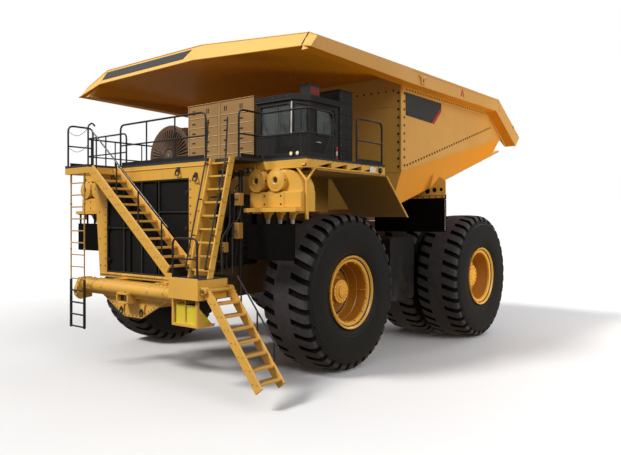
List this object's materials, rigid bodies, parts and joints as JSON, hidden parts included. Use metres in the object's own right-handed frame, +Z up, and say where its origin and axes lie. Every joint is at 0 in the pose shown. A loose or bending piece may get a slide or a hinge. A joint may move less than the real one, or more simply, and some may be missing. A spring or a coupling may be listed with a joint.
{
  "type": "rigid-frame mining dump truck",
  "caption": "Rigid-frame mining dump truck with tipping body, canopy, cab, front stairs, steered front wheels and twin rear wheels.",
  "frame": {"origin": "on the ground plane under the centre of the truck's outline", "axes": "+X to the truck's left (the cab side), +Y to its rear, +Z up"},
  "size_m": [9.4676, 14.23, 8.5847],
  "materials": {
    "body_yellow": "gloss",
    "frame_yellow": "satin",
    "bed_yellow": "satin",
    "rim_yellow": "gloss",
    "tyre_rubber": "matte",
    "black_paint": "satin",
    "black_rubber": "matte",
    "deck_grip": "matte",
    "glass": "clear",
    "cylinder_chrome": "polished",
    "cast_dark": "rough",
    "drum_brown": "satin",
    "cabinet_tan": "satin",
    "seat_fabric": "woven",
    "chock_green": "satin",
    "display_black": "gloss"
  },
  "bodies": {
    "steer_left": {"steering_knuckle_left": "cast_dark"},
    "front_wheel_left": {"front_tyre_left": "tyre_rubber", "front_rim_left": "rim_yellow"},
    "rear_wheels_left": {"rear_tyres_left": "tyre_rubber", "rear_rims_left": "rim_yellow"},
    "steer_barrel_left": {"steer_barrel_left": "cast_dark"},
    "steer_rod_left": {"steer_rod_left": "cylinder_chrome"},
    "hoist_barrel_left": {"hoist_barrel_left": "black_paint"},
    "hoist_stage_left": {"hoist_stage_left": "cylinder_chrome"},
    "hoist_rod_left": {"hoist_rod_left": "cylinder_chrome"},
    "steer_right": {"steering_knuckle_right": "cast_dark"},
    "front_wheel_right": {"front_tyre_right": "tyre_rubber", "front_rim_right": "rim_yellow"},
    "rear_wheels_right": {"rear_tyres_right": "tyre_rubber", "rear_rims_right": "rim_yellow"},
    "steer_barrel_right": {"steer_barrel_right": "cast_dark"},
    "steer_rod_right": {"steer_rod_right": "cylinder_chrome"},
    "hoist_barrel_right": {"hoist_barrel_right": "black_paint"},
    "hoist_stage_right": {"hoist_stage_right": "cylinder_chrome"},
    "hoist_rod_right": {"hoist_rod_right": "cylinder_chrome"},
    "bed": {"bed_floor": "bed_yellow", "bed_beams": "bed_yellow", "bed_headboard": "bed_yellow", "bed_side_left": "bed_yellow", "bed_side_right": "bed_yellow", "bed_canopy": "bed_yellow", "rear_mud_flaps": "black_rubber"},
    "cab_door": {"cab_door": "black_paint", "cab_door_window": "glass"},
    "access_stair": {"access_stair": "body_yellow"},
    "chassis": {"air_cleaners": "body_yellow", "bumper_platform": "body_yellow", "cab_interior": "seat_fabric", "cab_rear_cabinet": "black_paint", "cab_shell": "black_paint", "cab_windows": "glass", "control_cabinets": "cabinet_tan", "deck_floor": "deck_grip", "deck_frame": "body_yellow", "deck_handrails": "black_paint", "deck_ladder": "body_yellow", "display_board": "display_black", "engine_block": "cast_dark", "escape_ladder": "body_yellow", "front_bumper": "body_yellow", "front_fenders": "body_yellow", "front_mud_flaps": "black_rubber", "front_stair": "body_yellow", "front_struts": "cast_dark", "fuel_tank": "black_paint", "hydraulic_tank": "black_paint", "main_frame": "frame_yellow", "radiator_grille": "black_paint", "radiator_housing": "body_yellow", "rear_axle_housing": "frame_yellow", "retarder_drum": "drum_brown", "wheel_chocks": "chock_green"}
  },
  "joints": [
    {"name": "bed_tip", "type": "hinge", "parent": "chassis", "child": "bed", "pos_m": [0, 4.91, 3.5], "axis": [-1, 0, 0], "range_deg": [0, 45]},
    {"name": "steer_left", "type": "hinge", "parent": "chassis", "child": "steer_left", "pos_m": [2.3, -2.79, 2.014], "axis": [0, 0, 1], "range_deg": [-32, 32]},
    {"name": "front_wheel_left_spin", "type": "hinge", "parent": "steer_left", "child": "front_wheel_left", "pos_m": [3.42, -2.79, 2.014], "axis": [1, 0, 0], "continuous": true},
    {"name": "rear_wheels_left_spin", "type": "hinge", "parent": "chassis", "child": "rear_wheels_left", "pos_m": [3.933, 3.91, 2.014], "axis": [1, 0, 0], "continuous": true},
    {"name": "steer_right", "type": "hinge", "parent": "chassis", "child": "steer_right", "pos_m": [-2.3, -2.79, 2.014], "axis": [0, 0, 1], "range_deg": [-32, 32]},
    {"name": "front_wheel_right_spin", "type": "hinge", "parent": "steer_right", "child": "front_wheel_right", "pos_m": [-3.42, -2.79, 2.014], "axis": [1, 0, 0], "continuous": true},
    {"name": "rear_wheels_right_spin", "type": "hinge", "parent": "chassis", "child": "rear_wheels_right", "pos_m": [-3.933, 3.91, 2.014], "axis": [1, 0, 0], "continuous": true},
    {"name": "steer_barrel_left_swing", "type": "hinge", "parent": "chassis", "child": "steer_barrel_left", "pos_m": [0.55, -2.18, 1.7], "axis": [0, 0, 1], "range_deg": [-3.96, 3.96]},
    {"name": "steer_rod_left_slide", "type": "slide", "parent": "steer_barrel_left", "child": "steer_rod_left", "axis": [0.9976, 0.0686, 0], "range_m": [-0.3861, 0.3861]},
    {"name": "steer_barrel_right_swing", "type": "hinge", "parent": "chassis", "child": "steer_barrel_right", "pos_m": [-0.55, -2.18, 1.7], "axis": [0, 0, 1], "range_deg": [-3.96, 3.96]},
    {"name": "steer_rod_right_slide", "type": "slide", "parent": "steer_barrel_right", "child": "steer_rod_right", "axis": [-0.9976, 0.0686, 0], "range_m": [-0.3861, 0.3861]},
    {"name": "hoist_barrel_left_swing", "type": "hinge", "parent": "chassis", "child": "hoist_barrel_left", "pos_m": [1.43, 0.91, 1.95], "axis": [-1, 0, 0], "range_deg": [0, 10.03]},
    {"name": "hoist_stage_left_slide", "type": "slide", "parent": "hoist_barrel_left", "child": "hoist_stage_left", "axis": [0, 0.2912, 0.9567], "range_m": [0, 1.2681]},
    {"name": "hoist_rod_left_slide", "type": "slide", "parent": "hoist_stage_left", "child": "hoist_rod_left", "axis": [0, 0.2912, 0.9567], "range_m": [0, 1.2681]},
    {"name": "hoist_barrel_right_swing", "type": "hinge", "parent": "chassis", "child": "hoist_barrel_right", "pos_m": [-1.43, 0.91, 1.95], "axis": [-1, 0, 0], "range_deg": [0, 10.03]},
    {"name": "hoist_stage_right_slide", "type": "slide", "parent": "hoist_barrel_right", "child": "hoist_stage_right", "axis": [0, 0.2912, 0.9567], "range_m": [0, 1.2681]},
    {"name": "hoist_rod_right_slide", "type": "slide", "parent": "hoist_stage_right", "child": "hoist_rod_right", "axis": [0, 0.2912, 0.9567], "range_m": [0, 1.2681]},
    {"name": "access_stair_lift", "type": "hinge", "parent": "chassis", "child": "access_stair", "pos_m": [3.15, -6.585, 2.33], "axis": [0, -1, 0], "range_deg": [0, 60]},
    {"name": "cab_door_swing", "type": "hinge", "parent": "chassis", "child": "cab_door", "pos_m": [3.96, -3.346, 6], "axis": [0, 0, 1], "range_deg": [0, 85]}
  ],
  "couplings": [
    {"joint": "steer_right", "follows": "steer_left", "ratio": 1},
    {"joint": "steer_barrel_left_swing", "follows": "steer_left", "ratio": -0.09258},
    {"joint": "steer_rod_left_slide", "follows": "steer_left", "m_per_rad": -0.68234},
    {"joint": "steer_barrel_right_swing", "follows": "steer_left", "ratio": -0.09258},
    {"joint": "steer_rod_right_slide", "follows": "steer_left", "m_per_rad": 0.68234},
    {"joint": "hoist_barrel_left_swing", "follows": "bed_tip", "ratio": 0.21185},
    {"joint": "hoist_stage_left_slide", "follows": "bed_tip", "m_per_rad": 1.6082},
    {"joint": "hoist_rod_left_slide", "follows": "bed_tip", "m_per_rad": 1.6082},
    {"joint": "hoist_barrel_right_swing", "follows": "bed_tip", "ratio": 0.21185},
    {"joint": "hoist_stage_right_slide", "follows": "bed_tip", "m_per_rad": 1.6082},
    {"joint": "hoist_rod_right_slide", "follows": "bed_tip", "m_per_rad": 1.6082}
  ]
}
